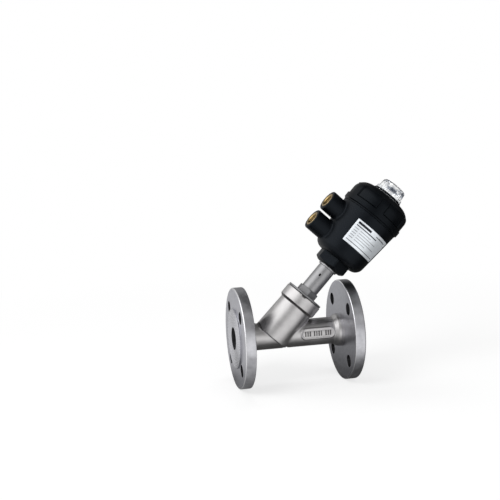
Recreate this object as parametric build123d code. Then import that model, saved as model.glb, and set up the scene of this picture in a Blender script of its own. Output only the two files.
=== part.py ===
"""Pneumatic angle seat valve, DN25 with PN16 flanges and a plastic piston actuator.

The origin is the centre of the inlet flange's raised face.  +X runs along the pipe to the
outlet and +Z points up.  The bonnet axis lies in the XZ plane and leans towards the outlet.
Everything on the bonnet is drawn upright about +Z, with its height counted from the point
where the bonnet axis crosses the pipe axis, and is then tilted into place.
"""
import os
from math import cos, radians, sin

from build123d import *

# Pipe run
FACE_TO_FACE = 140.0
PIPE_RADIUS = 15.5
PASSAGE_RADIUS = 12.8
FLANGE_RADIUS = 57.5
FLANGE_THICKNESS = 12.0
RAISED_FACE_RADIUS = 34.0
RAISED_FACE_HEIGHT = 2.0
BOLT_CIRCLE = 85.0
BOLT_HOLE_RADIUS = 7.0
BOLT_COUNT = 4
FLANGE_BACK = RAISED_FACE_HEIGHT + FLANGE_THICKNESS
FLANGE_CHAMFER = 0.8
INLET_WELD_RADIUS = 17.2
INLET_WELD_WIDTH = 2.0
OUTLET_WELD_RADIUS = 18.7
OUTLET_WELD_WIDTH = 2.5
NOTCH_APEX = (58.8, -11.6)
NOTCH_LEFT = (52.6, -15.6)
NOTCH_RIGHT = (63.4, -15.6)
SIZE_FRAME_PLACE = (95.0, 1.5)
SIZE_FRAME_LENGTH = 40.0
SIZE_FRAME_WIDTH = 12.5
SIZE_FRAME_RIM = 1.3
SIZE_FRAME_HEIGHT = 0.7

# Bonnet axis
BONNET_ANGLE = 47.0
AXIS_CROSSING = 44.0
FAR = 200.0

# Body neck, heights along the bonnet axis
NECK_FOOT = -1.0
NECK_FOOT_RADIUS = 21.5
NECK_RADIUS = 20.4
COLLAR_RADIUS = 23.0
COLLAR_FOOT = 45.4
COLLAR_CHAMFER = 2.6
COLLAR_TOP = 58.0
CHAMBER_RADIUS = 17.0
SEAT_TOP = 6.0
SEAT_LIP = 1.0
SEAT_LIP_WIDTH = 1.4
ORIFICE_RADIUS = 12.0
KEY_SLOT_BEARING = -108.0

# Bonnet and stem tube
GASKET_THICKNESS = 0.6
BONNET_FLANGE_RADIUS = 22.4
BONNET_FLANGE_TOP = 60.6
SPIGOT_FOOT = 44.0
HEX_FLATS = 22.4
HEX_TOP = 67.9
TUBE_RADIUS = 10.2
TUBE_BORE = 8.0
TUBE_SOCKET = 62.5
TUBE_SOCKET_RADIUS = 9.2
TUBE_SHOULDER = 99.2
TUBE_NECK_RADIUS = 8.9
TUBE_TOP = 119.0
WASHER_RADIUS = 11.75
WASHER_THICKNESS = 1.8
WEEP_HOLE_HEIGHT = 88.0
WEEP_HOLE_RADIUS = 1.3
WEEP_HOLE_BEARING = -118.4
BUSH_LENGTH = 10.0
PACKING_FOOT = SPIGOT_FOOT + 12.0
PACKING_RING_COUNT = 5
PACKING_RING_HEIGHT = 2.6
PACKING_RING_STEP = 3.0
PACKING_WASHER_FOOT = SPIGOT_FOOT + 27.4
PACKING_WASHER_THICKNESS = 2.0
UPPER_BUSH_FOOT = 105.0
WIPER_RADIUS = 6.6
CORNER_BEARING = -98.4
RUNNING_GAP = 0.05
FREE_GAP = 0.4

# Stem, plug and piston
STEM_RADIUS = 5.0
THREAD_RADIUS = 3.5
STEM_TOP = 152.0
PLUG_RADIUS = 14.4
PLUG_FOOT = 9.5
SEAL_WASHER_THICKNESS = 1.6
SMALL_NUT_FLATS = 13.0
PISTON_RADIUS = 27.9
PISTON_FOOT = 123.5
PISTON_DISC = 136.0
PISTON_TOP = 142.0
PISTON_GROOVE_DEPTH = 3.0
PISTON_GROOVE_LIP = 1.5
PIN_RADIUS = 3.5
PIN_TOP = 206.5
WIRE_SIDES = 8

# Actuator head
NUT_FLATS = 36.0
NUT_FOOT = 101.4
HEAD_NECK_RADIUS = 13.0
HOUSING_FOOT = 113.8
HOUSING_FOOT_RADIUS = 21.6
HOUSING_FLOOR = 121.0
HOUSING_SIDE_FOOT = 124.0
HOUSING_BASE_RADIUS = 32.0
HOUSING_TOP_RADIUS = 35.9
CYLINDER_RADIUS = 28.3
THREAD_BORE_RADIUS = 31.0
THREAD_FOOT = 162.0
SEAM = 174.4
PORT_HEIGHTS = {"lower": 131.4, "upper": 158.3}
PORT_REACH = 52.3
BOSS_RADIUS = 12.35
BOSS_RIM_FILLET = 1.6
INSERT_RADIUS = 8.85
INSERT_LENGTH = 16.0
PORT_THREAD_RADIUS = 5.9
AIRWAY_RADIUS = 2.5
CAP_BAND_RADIUS = 37.6
CAP_PANEL_RADIUS = 36.3
CAP_BAND_TOP = 183.5
CAP_SHOULDER = 191.5
CAP_TOP = 206.6
CAP_SPIGOT_FOOT = 164.0
SPRING_SEAT = 199.0
LUG_COUNT = 5
LUG_WIDTH = 12.0
LUG_BEARING = -103.7
PLATE_BEARING = -123.0
PLATE_SWEEP = 86.6
PLATE_FOOT = 134.0
PLATE_TOP = 163.0
PLATE_THICKNESS = 0.3
BASE_RING_RADIUS = 18.0
DOME_FOOT = 208.2
DOME_RIM_RADIUS = 17.2
DOME_RIM_TOP = 211.6
DOME_RADIUS = 15.6
DOME_TOP = 221.5
DOME_WALL = 1.4
DOME_CROWN_RADIUS = 14.9

TILT = radians(BONNET_ANGLE)
BONNET = Location(
    Plane(
        origin=(AXIS_CROSSING, 0, 0),
        x_dir=(sin(TILT), 0, -cos(TILT)),
        z_dir=(cos(TILT), 0, sin(TILT)),
    )
)


def turned(*outline):
    """A solid of revolution about Z from (radius, height) corners."""
    edges = Polyline(*outline, close=True)
    return revolve(Plane.XZ * make_face(edges), Axis.Z)


def ring(outer, inner, foot, top):
    """A plain ring about Z, or a disc where inner is 0."""
    outside = Pos(0, 0, (foot + top) / 2) * Cylinder(outer, top - foot)
    if inner == 0:
        return outside
    return outside - Pos(0, 0, (foot + top) / 2) * Cylinder(inner, top - foot + 2)


def along_pipe(radius, start, end):
    """A cylinder on the pipe axis from x = start to x = end."""
    return Pos((start + end) / 2, 0, 0) * Rot(0, 90, 0) * Cylinder(radius, end - start)


def hexagon(flats, foot, top):
    """A hexagonal prism about Z with one corner at the shared bearing."""
    section = RegularPolygon(flats / 2, 6, major_radius=False)
    return Pos(0, 0, foot) * Rot(0, 0, CORNER_BEARING) * extrude(section, top - foot)


def half_space(above):
    """Everything on one side of the neck's foot plane, in the tilted bonnet frame."""
    middle = NECK_FOOT + (FAR if above else -FAR)
    return BONNET * Pos(0, 0, middle) * Box(2 * FAR, 2 * FAR, 2 * FAR)


def coil(wire_radius, coil_radius, turns, foot, top):
    """A compression spring between two heights, its wire drawn with eight flats."""
    rise = top - foot - 2 * wire_radius
    path = Helix(pitch=rise / turns, height=rise, radius=coil_radius)
    section = Plane(origin=path @ 0, z_dir=path % 0) * RegularPolygon(wire_radius, WIRE_SIDES)
    return Pos(0, 0, foot + wire_radius) * sweep(section, path=path, is_frenet=True)


def pipe_outside():
    """The cast outside: inlet stub, leaning neck with its collar, and outlet pipe."""
    inlet = along_pipe(PIPE_RADIUS, FLANGE_BACK, AXIS_CROSSING + 2 * PIPE_RADIUS)
    inlet = inlet & half_space(above=False)
    neck = BONNET * turned(
        (0, NECK_FOOT),
        (NECK_FOOT_RADIUS, NECK_FOOT),
        (NECK_RADIUS, COLLAR_FOOT - COLLAR_CHAMFER),
        (COLLAR_RADIUS, COLLAR_FOOT),
        (COLLAR_RADIUS, COLLAR_TOP),
        (0, COLLAR_TOP),
    )
    outlet = along_pipe(PIPE_RADIUS, AXIS_CROSSING, FACE_TO_FACE - FLANGE_BACK)
    outlet = outlet & half_space(above=True)
    inlet_weld = along_pipe(INLET_WELD_RADIUS, FLANGE_BACK, FLANGE_BACK + INLET_WELD_WIDTH)
    outlet_back = FACE_TO_FACE - FLANGE_BACK
    outlet_weld = along_pipe(OUTLET_WELD_RADIUS, outlet_back - OUTLET_WELD_WIDTH, outlet_back)
    return inlet + neck + outlet + inlet_weld + outlet_weld


def crotch_notch():
    """The rounded vee under the body where the inlet stub ends and the outlet starts."""
    below = -PIPE_RADIUS - 4.0
    outline = ThreePointArc(NOTCH_LEFT, (56.6, -14.0), NOTCH_APEX)
    outline += ThreePointArc(NOTCH_APEX, (60.4, -14.2), NOTCH_RIGHT)
    outline += Polyline(NOTCH_RIGHT, (NOTCH_RIGHT[0], below), (NOTCH_LEFT[0], below), NOTCH_LEFT)
    return extrude(Plane.XZ * make_face(outline), amount=PIPE_RADIUS * 2, both=True)


def size_frame():
    """The raised oblong frame cast on the front of the outlet pipe."""
    inner_length = SIZE_FRAME_LENGTH - 2 * SIZE_FRAME_RIM
    inner_width = SIZE_FRAME_WIDTH - 2 * SIZE_FRAME_RIM
    outline = SlotOverall(SIZE_FRAME_LENGTH, SIZE_FRAME_WIDTH) - SlotOverall(inner_length, inner_width)
    frame = extrude(Plane.XZ * Pos(*SIZE_FRAME_PLACE) * outline, PIPE_RADIUS * 2)
    return frame & along_pipe(PIPE_RADIUS + SIZE_FRAME_HEIGHT, AXIS_CROSSING, FACE_TO_FACE)


def passages():
    """Inlet bore, seat orifice, plug chamber and outlet bore."""
    inlet = along_pipe(PASSAGE_RADIUS, -1, AXIS_CROSSING + 2 * PIPE_RADIUS)
    inlet = inlet & half_space(above=False)
    orifice = BONNET * ring(ORIFICE_RADIUS, 0, NECK_FOOT - 6, SEAT_TOP + SEAT_LIP + 1)
    chamber = BONNET * ring(CHAMBER_RADIUS, 0, SEAT_TOP, COLLAR_TOP + 1)
    outlet = along_pipe(PASSAGE_RADIUS, AXIS_CROSSING, FACE_TO_FACE + 1)
    above_seat = BONNET * Pos(0, 0, SEAT_TOP + FAR) * Box(2 * FAR, 2 * FAR, 2 * FAR)
    return inlet, orifice, chamber, outlet & above_seat


def valve_body():
    """Investment-cast body with a threaded neck and a raised seat lip."""
    body = pipe_outside() - crotch_notch() + size_frame()
    for passage in passages():
        body -= passage
    lip = BONNET * turned(
        (ORIFICE_RADIUS, SEAT_TOP - 0.5),
        (ORIFICE_RADIUS + SEAT_LIP_WIDTH + 1.2, SEAT_TOP - 0.5),
        (ORIFICE_RADIUS + SEAT_LIP_WIDTH, SEAT_TOP + SEAT_LIP),
        (ORIFICE_RADIUS, SEAT_TOP + SEAT_LIP),
    )
    key_slot = Rot(0, 0, KEY_SLOT_BEARING) * Pos(COLLAR_RADIUS, 0, COLLAR_TOP) * Box(4.0, 5.0, 3.0)
    return body + lip - BONNET * key_slot


def flange(raised_at, back_at):
    """A PN16 slip-on flange with its raised face and four bolt holes."""
    disc_front = raised_at + RAISED_FACE_HEIGHT * (1 if back_at > raised_at else -1)
    disc = along_pipe(FLANGE_RADIUS, min(disc_front, back_at), max(disc_front, back_at))
    disc = chamfer(disc.edges().filter_by(GeomType.CIRCLE), FLANGE_CHAMFER)
    face = along_pipe(RAISED_FACE_RADIUS, min(raised_at, disc_front), max(raised_at, disc_front))
    plate = disc + face
    plate -= along_pipe(PASSAGE_RADIUS, -1, FACE_TO_FACE + 1)
    hole = along_pipe(BOLT_HOLE_RADIUS, -1, FACE_TO_FACE + 1)
    for index in range(BOLT_COUNT):
        bearing = (index + 0.5) * 360 / BOLT_COUNT
        plate -= Rot(bearing, 0, 0) * Pos(0, BOLT_CIRCLE / 2, 0) * hole
    return plate


def bonnet_gasket():
    """Flat ring between the body collar and the bonnet flange."""
    return ring(BONNET_FLANGE_RADIUS - 0.6, CHAMBER_RADIUS, COLLAR_TOP, COLLAR_TOP + GASKET_THICKNESS)


def bonnet():
    """Bonnet screwed into the collar, with a hexagon for the spanner and a tube socket."""
    blank = turned(
        (0, SPIGOT_FOOT),
        (CHAMBER_RADIUS - 1.5, SPIGOT_FOOT),
        (CHAMBER_RADIUS, SPIGOT_FOOT + 1.5),
        (CHAMBER_RADIUS, COLLAR_TOP + GASKET_THICKNESS),
        (BONNET_FLANGE_RADIUS, COLLAR_TOP + GASKET_THICKNESS),
        (BONNET_FLANGE_RADIUS, BONNET_FLANGE_TOP - 0.5),
        (BONNET_FLANGE_RADIUS - 0.5, BONNET_FLANGE_TOP),
        (0, BONNET_FLANGE_TOP),
    )
    spanner_hex = hexagon(HEX_FLATS, BONNET_FLANGE_TOP, HEX_TOP)
    corner = HEX_FLATS / 2 / cos(radians(30))
    crown = turned(
        (0, BONNET_FLANGE_TOP),
        (corner + 1, BONNET_FLANGE_TOP),
        (corner + 1, HEX_TOP - 1.2),
        (corner - 0.7, HEX_TOP),
        (0, HEX_TOP),
    )
    piece = blank + (spanner_hex & crown)
    piece -= ring(STEM_RADIUS + FREE_GAP, 0, SPIGOT_FOOT - 1, HEX_TOP + 1)
    piece -= ring(TUBE_BORE, 0, SPIGOT_FOOT - 1, SPIGOT_FOOT + BUSH_LENGTH)
    piece -= ring(TUBE_BORE, 0, PACKING_FOOT, HEX_TOP + 1)
    return piece - ring(TUBE_SOCKET_RADIUS, 0, TUBE_SOCKET, HEX_TOP + 1)


def stem_tube():
    """Stem tube screwed into the bonnet, with the narrower neck that the head turns on."""
    tube = turned(
        (TUBE_BORE, TUBE_SOCKET),
        (TUBE_SOCKET_RADIUS, TUBE_SOCKET),
        (TUBE_SOCKET_RADIUS, HEX_TOP),
        (TUBE_RADIUS, HEX_TOP),
        (TUBE_RADIUS, TUBE_SHOULDER),
        (TUBE_NECK_RADIUS, TUBE_SHOULDER),
        (TUBE_NECK_RADIUS, TUBE_TOP - 0.6),
        (TUBE_NECK_RADIUS - 0.6, TUBE_TOP),
        (TUBE_BORE, TUBE_TOP),
    )
    drill = Cylinder(WEEP_HOLE_RADIUS, 2 * TUBE_RADIUS, align=(Align.CENTER, Align.CENTER, Align.MIN))
    drill = Pos(0, 0, WEEP_HOLE_HEIGHT) * Rot(0, 90, 0) * drill
    return tube - Rot(0, 0, WEEP_HOLE_BEARING) * drill


def lower_guide_bush():
    """Bush pressed into the foot of the bonnet that guides the stem by the plug."""
    return ring(TUBE_BORE, STEM_RADIUS + RUNNING_GAP, SPIGOT_FOOT, SPIGOT_FOOT + BUSH_LENGTH)


def packing_rings():
    """Five chevron packing rings stacked in the bonnet, as separate solids."""
    rings = []
    height = PACKING_RING_HEIGHT
    dip = 0.9
    middle = (TUBE_BORE + STEM_RADIUS) / 2
    for index in range(PACKING_RING_COUNT):
        foot = PACKING_FOOT + index * PACKING_RING_STEP
        rings.append(
            turned(
                (STEM_RADIUS + RUNNING_GAP, foot),
                (middle, foot + dip),
                (TUBE_BORE, foot),
                (TUBE_BORE, foot + height - dip),
                (middle, foot + height),
                (STEM_RADIUS + RUNNING_GAP, foot + height - dip),
            )
        )
    return Compound(rings)


def packing_washer():
    """Loose washer that spreads the spring load over the packing."""
    top = PACKING_WASHER_FOOT + PACKING_WASHER_THICKNESS
    return ring(TUBE_BORE - 0.1, STEM_RADIUS + FREE_GAP, PACKING_WASHER_FOOT, top)


def packing_spring():
    """Spring that keeps the packing tight as it wears."""
    foot = PACKING_WASHER_FOOT + PACKING_WASHER_THICKNESS
    return coil(wire_radius=0.9, coil_radius=6.6, turns=5, foot=foot, top=UPPER_BUSH_FOOT)


def upper_guide_bush():
    """Bush in the top of the tube that guides the stem and carries the wiper."""
    bush = ring(TUBE_BORE, STEM_RADIUS + RUNNING_GAP, UPPER_BUSH_FOOT, TUBE_TOP - 0.5)
    return bush - ring(WIPER_RADIUS, 0, TUBE_TOP - 4, TUBE_TOP)


def stem_wiper():
    """Wiper ring in the counterbore of the upper bush."""
    return ring(WIPER_RADIUS, STEM_RADIUS + RUNNING_GAP, TUBE_TOP - 4, TUBE_TOP - 1)


def thrust_washer():
    """Bright steel washer between the tube shoulder and the head."""
    edge = 0.5
    top = TUBE_SHOULDER + WASHER_THICKNESS
    return turned(
        (TUBE_NECK_RADIUS, TUBE_SHOULDER),
        (WASHER_RADIUS - edge, TUBE_SHOULDER),
        (WASHER_RADIUS, TUBE_SHOULDER + edge),
        (WASHER_RADIUS, top),
        (TUBE_NECK_RADIUS, top),
    )


def retaining_ring():
    """Split ring on the tube neck that keeps the head from lifting off."""
    clip = ring(11.4, TUBE_NECK_RADIUS, 117.3, 118.3)
    return clip - Pos(10, 0, 117.8) * Box(6, 3, 4)


def housing_outline():
    """Outside of the housing from its foot to the seam, as one closed face in XZ."""
    side_foot = (HOUSING_BASE_RADIUS, HOUSING_SIDE_FOOT)
    foot_edge = (HOUSING_FOOT_RADIUS, HOUSING_FOOT)
    outline = Polyline(
        (0, NUT_FOOT),
        (HEAD_NECK_RADIUS, NUT_FOOT),
        (HEAD_NECK_RADIUS, HOUSING_FOOT),
        foot_edge,
    )
    outline += ThreePointArc(foot_edge, (28.4, 116.6), side_foot)
    outline += Polyline(side_foot, (HOUSING_TOP_RADIUS, SEAM), (0, SEAM), (0, NUT_FOOT))
    return make_face(outline)


def head_housing():
    """Moulded cylinder of the actuator, with the two air port bosses on its side."""
    housing = revolve(Plane.XZ * housing_outline(), Axis.Z)
    for height in PORT_HEIGHTS.values():
        boss = Cylinder(BOSS_RADIUS, PORT_REACH - 20, align=(Align.CENTER, Align.CENTER, Align.MIN))
        boss = fillet(boss.edges().group_by(Axis.Z)[-1], BOSS_RIM_FILLET)
        housing += Pos(-20, 0, height) * Rot(0, -90, 0) * boss
    housing -= ring(CYLINDER_RADIUS, 0, HOUSING_FLOOR, SEAM + 1)
    housing -= ring(THREAD_BORE_RADIUS, 0, THREAD_FOOT, SEAM + 1)
    housing -= ring(12.0, 0, 117.0, HOUSING_FLOOR + 1)
    housing -= ring(TUBE_NECK_RADIUS + RUNNING_GAP, 0, NUT_FOOT - 1, 118)
    for height in PORT_HEIGHTS.values():
        pocket = Pos(-PORT_REACH + INSERT_LENGTH / 2 - 0.5, 0, height) * Rot(0, 90, 0)
        housing -= pocket * Cylinder(INSERT_RADIUS, INSERT_LENGTH + 1)
        housing -= Pos(-32, 0, height) * Rot(0, 90, 0) * Cylinder(AIRWAY_RADIUS, 16)
    return housing


def port_insert(height):
    """Brass insert moulded into a boss, with its threaded air port."""
    insert = Cylinder(INSERT_RADIUS, INSERT_LENGTH) - Cylinder(PORT_THREAD_RADIUS, INSERT_LENGTH)
    return Pos(-PORT_REACH + INSERT_LENGTH / 2, 0, height) * Rot(0, 90, 0) * insert


def base_nut():
    """Black hexagon on the neck of the head, chamfered where it meets the washer."""
    corner = NUT_FLATS / 2 / cos(radians(30))
    nut = hexagon(NUT_FLATS, NUT_FOOT, HOUSING_FOOT)
    envelope = turned(
        (0, NUT_FOOT),
        (15.5, NUT_FOOT),
        (corner, NUT_FOOT + 3.2),
        (corner, HOUSING_FOOT),
        (0, HOUSING_FOOT),
    )
    return (nut & envelope) - ring(HEAD_NECK_RADIUS, 0, NUT_FOOT - 1, HOUSING_FOOT + 1)


def screw_cap():
    """Domed cap screwed into the housing, with grip lugs and a bore for the indicator."""
    shoulder_end = (24.6, 204.8)
    outline = Polyline(
        (0, CAP_SPIGOT_FOOT),
        (THREAD_BORE_RADIUS - 1, CAP_SPIGOT_FOOT),
        (THREAD_BORE_RADIUS, CAP_SPIGOT_FOOT + 1),
        (THREAD_BORE_RADIUS, SEAM),
        (CAP_PANEL_RADIUS - 0.2, SEAM),
        (CAP_PANEL_RADIUS - 0.2, SEAM + 1.4),
        (CAP_BAND_RADIUS, SEAM + 2.4),
        (CAP_BAND_RADIUS, CAP_BAND_TOP - 1),
        (CAP_PANEL_RADIUS, CAP_BAND_TOP),
        (CAP_PANEL_RADIUS, CAP_SHOULDER),
    )
    outline += ThreePointArc((CAP_PANEL_RADIUS, CAP_SHOULDER), (33.0, 199.9), shoulder_end)
    outline += Polyline(shoulder_end, (BASE_RING_RADIUS, CAP_TOP), (0, CAP_TOP), (0, CAP_SPIGOT_FOOT))
    cap = revolve(Plane.XZ * make_face(outline), Axis.Z)
    rib = Pos(0, 0, CAP_BAND_TOP - 1) * extrude(Rectangle(80, LUG_WIDTH, align=(Align.MIN, Align.CENTER)), 18)
    lug_envelope = turned(
        (20, CAP_BAND_TOP - 1.5),
        (CAP_BAND_RADIUS, CAP_BAND_TOP - 1.5),
        (CAP_BAND_RADIUS, 190.6),
        (34.4, 199.6),
        (31.4, 202.6),
        (20, 202.6),
    )
    for index in range(LUG_COUNT):
        cap += Rot(0, 0, LUG_BEARING + index * 360 / LUG_COUNT) * (rib & lug_envelope)
    cavity = turned(
        (0, CAP_SPIGOT_FOOT - 1),
        (27.0, CAP_SPIGOT_FOOT - 1),
        (27.0, SPRING_SEAT - 7),
        (21.0, SPRING_SEAT),
        (0, SPRING_SEAT),
    )
    cap -= cavity
    return cap - ring(PIN_RADIUS + FREE_GAP, 0, 190, CAP_TOP + 1)


def cap_o_ring():
    """O-ring that seals the cap spigot against the mouth of the cylinder."""
    section = Pos(29.6, 163.1) * RegularPolygon(0.85, WIRE_SIDES)
    return revolve(Plane.XZ * section, Axis.Z)


def name_plate():
    """Thin label wrapped round the tapering side of the housing."""
    slope = (HOUSING_TOP_RADIUS - HOUSING_BASE_RADIUS) / (SEAM - HOUSING_SIDE_FOOT)
    foot_radius = HOUSING_BASE_RADIUS + slope * (PLATE_FOOT - HOUSING_SIDE_FOOT)
    top_radius = HOUSING_BASE_RADIUS + slope * (PLATE_TOP - HOUSING_SIDE_FOOT)
    section = Polyline(
        (foot_radius, PLATE_FOOT),
        (foot_radius + PLATE_THICKNESS, PLATE_FOOT),
        (top_radius + PLATE_THICKNESS, PLATE_TOP),
        (top_radius, PLATE_TOP),
        close=True,
    )
    plate = revolve(Plane.XZ * make_face(section), Axis.Z, revolution_arc=PLATE_SWEEP)
    return Rot(0, 0, PLATE_BEARING) * plate


def indicator_base_ring():
    """Black lip that clamps the foot of the clear dome."""
    return ring(BASE_RING_RADIUS, 10.0, CAP_TOP, DOME_FOOT)


def indicator_dome():
    """Clear dome over the position indicator."""
    shoulder = DOME_TOP - 2.4
    outline = Polyline(
        (DOME_RIM_RADIUS, DOME_FOOT),
        (DOME_RIM_RADIUS, DOME_RIM_TOP),
        (DOME_RADIUS, DOME_RIM_TOP),
        (DOME_CROWN_RADIUS, shoulder),
    )
    crown_edge = (12.2, DOME_TOP)
    outline += ThreePointArc((DOME_CROWN_RADIUS, shoulder), (14.0, DOME_TOP - 0.6), crown_edge)
    outline += Polyline(
        crown_edge,
        (0, DOME_TOP),
        (0, DOME_TOP - DOME_WALL),
        (12.0, DOME_TOP - DOME_WALL),
        (13.4, shoulder - 1),
        (DOME_RADIUS - DOME_WALL, DOME_FOOT),
        (DOME_RIM_RADIUS, DOME_FOOT),
    )
    return revolve(Plane.XZ * make_face(outline), Axis.Z)


def return_spring():
    """Spring above the piston that closes the valve when the air is let out."""
    return coil(wire_radius=1.9, coil_radius=17.5, turns=4, foot=PISTON_TOP, top=SPRING_SEAT)


def stem():
    """Polished stem from the plug to the piston, with a threaded end at each end."""
    return turned(
        (0, 2.0),
        (THREAD_RADIUS, 2.0),
        (THREAD_RADIUS, PLUG_FOOT),
        (STEM_RADIUS, PLUG_FOOT),
        (STEM_RADIUS, PISTON_FOOT),
        (THREAD_RADIUS, PISTON_FOOT),
        (THREAD_RADIUS, STEM_TOP),
        (0, STEM_TOP),
    )


def valve_plug():
    """Plug holder on the stem that backs the seat seal."""
    return turned(
        (STEM_RADIUS, PLUG_FOOT),
        (PLUG_RADIUS, PLUG_FOOT),
        (PLUG_RADIUS, PLUG_FOOT + 3),
        (8.6, PLUG_FOOT + 7),
        (8.6, PLUG_FOOT + 13),
        (7.6, PLUG_FOOT + 14),
        (STEM_RADIUS, PLUG_FOOT + 14),
    )


def seat_seal():
    """Soft disc that closes on the seat lip."""
    foot = SEAT_TOP + SEAT_LIP + RUNNING_GAP
    return ring(PLUG_RADIUS - 0.2, THREAD_RADIUS, foot, PLUG_FOOT)


def seal_washer():
    """Washer that clamps the seal from below, small enough to enter the orifice."""
    top = SEAT_TOP + SEAT_LIP + RUNNING_GAP
    return ring(10.4, THREAD_RADIUS, top - SEAL_WASHER_THICKNESS, top)


def plug_nut():
    """Nut under the seal washer."""
    top = SEAT_TOP + SEAT_LIP + RUNNING_GAP - SEAL_WASHER_THICKNESS
    return hexagon(SMALL_NUT_FLATS, 2.4, top) - ring(THREAD_RADIUS, 0, 0, PLUG_FOOT)


def piston():
    """Piston with a long hub and a seal groove in its rim."""
    groove_floor = PISTON_RADIUS - PISTON_GROOVE_DEPTH
    groove_foot = PISTON_DISC + PISTON_GROOVE_LIP
    groove_top = PISTON_TOP - PISTON_GROOVE_LIP
    return turned(
        (THREAD_RADIUS, PISTON_FOOT),
        (11.0, PISTON_FOOT),
        (12.0, PISTON_FOOT + 1),
        (12.0, PISTON_DISC - 3),
        (15.0, PISTON_DISC),
        (PISTON_RADIUS, PISTON_DISC),
        (PISTON_RADIUS, groove_foot),
        (groove_floor, groove_foot),
        (groove_floor, groove_top),
        (PISTON_RADIUS, groove_top),
        (PISTON_RADIUS, PISTON_TOP),
        (14.0, PISTON_TOP),
        (14.0, PISTON_TOP - 3),
        (THREAD_RADIUS, PISTON_TOP - 3),
    )


def piston_seal():
    """Lip seal in the piston groove."""
    outer = CYLINDER_RADIUS - RUNNING_GAP
    inner = PISTON_RADIUS - PISTON_GROOVE_DEPTH
    foot = PISTON_DISC + PISTON_GROOVE_LIP + 0.1
    top = PISTON_TOP - PISTON_GROOVE_LIP - 0.1
    return turned(
        (inner, foot),
        (outer - 0.5, foot),
        (outer, foot + 0.8),
        (outer, top - 0.8),
        (outer - 0.5, top),
        (inner, top),
    )


def piston_nut():
    """Nut that clamps the piston to the stem."""
    foot = PISTON_TOP - 3
    return hexagon(SMALL_NUT_FLATS, foot, foot + 7) - ring(THREAD_RADIUS, 0, foot - 1, foot + 8)


def indicator_pin():
    """Position pin screwed on the stem that rises into the dome as the valve opens."""
    tip = 1.0
    return turned(
        (0, STEM_TOP),
        (PIN_RADIUS, STEM_TOP),
        (PIN_RADIUS, PIN_TOP - tip),
        (PIN_RADIUS - tip, PIN_TOP),
        (0, PIN_TOP),
    )


def main():
    os.makedirs("parts", exist_ok=True)
    outlet_face = FACE_TO_FACE
    pieces = {
        "valve_body": valve_body(),
        "inlet_flange": flange(0, FLANGE_BACK),
        "outlet_flange": flange(outlet_face, outlet_face - FLANGE_BACK),
    }
    upright = {
        "bonnet_gasket": bonnet_gasket(),
        "bonnet": bonnet(),
        "stem_tube": stem_tube(),
        "lower_guide_bush": lower_guide_bush(),
        "packing_rings": packing_rings(),
        "packing_washer": packing_washer(),
        "packing_spring": packing_spring(),
        "upper_guide_bush": upper_guide_bush(),
        "stem_wiper": stem_wiper(),
        "thrust_washer": thrust_washer(),
        "retaining_ring": retaining_ring(),
        "head_housing": head_housing(),
        "base_nut": base_nut(),
        "screw_cap": screw_cap(),
        "cap_o_ring": cap_o_ring(),
        "name_plate": name_plate(),
        "indicator_base_ring": indicator_base_ring(),
        "indicator_dome": indicator_dome(),
        "return_spring": return_spring(),
        "stem": stem(),
        "valve_plug": valve_plug(),
        "seat_seal": seat_seal(),
        "seal_washer": seal_washer(),
        "plug_nut": plug_nut(),
        "piston": piston(),
        "piston_seal": piston_seal(),
        "piston_nut": piston_nut(),
        "indicator_pin": indicator_pin(),
    }
    for name, height in PORT_HEIGHTS.items():
        upright[name + "_port_insert"] = port_insert(height)
    for name, piece in upright.items():
        pieces[name] = BONNET * piece
    for name, piece in pieces.items():
        export_step(piece, os.path.join("parts", name + ".step"))


main()
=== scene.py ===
from math import atan2, cos, hypot, pi, radians, sin

import bmesh
import bpy
import numpy as np
from mathutils import Matrix, Vector


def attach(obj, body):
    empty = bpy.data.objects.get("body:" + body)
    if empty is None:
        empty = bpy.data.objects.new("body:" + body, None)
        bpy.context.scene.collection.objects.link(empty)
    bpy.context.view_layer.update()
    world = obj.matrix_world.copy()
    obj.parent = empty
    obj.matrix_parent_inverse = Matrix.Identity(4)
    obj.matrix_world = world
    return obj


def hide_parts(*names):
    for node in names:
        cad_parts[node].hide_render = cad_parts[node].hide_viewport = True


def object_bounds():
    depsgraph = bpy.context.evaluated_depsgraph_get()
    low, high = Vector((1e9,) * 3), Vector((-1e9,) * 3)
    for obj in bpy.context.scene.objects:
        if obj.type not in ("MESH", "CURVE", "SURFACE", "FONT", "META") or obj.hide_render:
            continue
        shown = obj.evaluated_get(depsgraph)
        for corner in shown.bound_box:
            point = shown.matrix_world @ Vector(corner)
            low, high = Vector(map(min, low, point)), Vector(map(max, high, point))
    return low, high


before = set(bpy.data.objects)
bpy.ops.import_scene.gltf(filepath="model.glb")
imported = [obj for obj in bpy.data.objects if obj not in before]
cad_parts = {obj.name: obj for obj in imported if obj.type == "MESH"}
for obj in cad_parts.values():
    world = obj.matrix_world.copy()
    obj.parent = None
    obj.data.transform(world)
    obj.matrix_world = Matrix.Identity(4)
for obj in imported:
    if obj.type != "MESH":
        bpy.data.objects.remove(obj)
cad_low, cad_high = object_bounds()

# ---------------------------------------------------------------------------------------------
# Studio: a pale floor that keeps the shadow, a white surround, a strong soft lamp at the upper
# left, a weak one at the right, one overhead, and a tent of tones that only polished surfaces see.
# ---------------------------------------------------------------------------------------------
FLOOR_SIZE = 40.0
WHITE_SHARE = 0.72
AMBIENT = 0.55
SHADOW_REACH = (0.25, 0.75)
SHADOW_MIDDLE = (0.10, 0.0, 0.0)
FLOOR_GAP = 0.0002


def node_adder(tree):
    """Gives a function that adds a node and sets its properties and its open sockets."""
    def add(kind, sockets=None, **values):
        node = tree.nodes.new(kind)
        for key, value in values.items():
            setattr(node, key, value)
        for label, value in (sockets or {}).items():
            node.inputs[label].default_value = value
        return node

    return add


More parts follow.
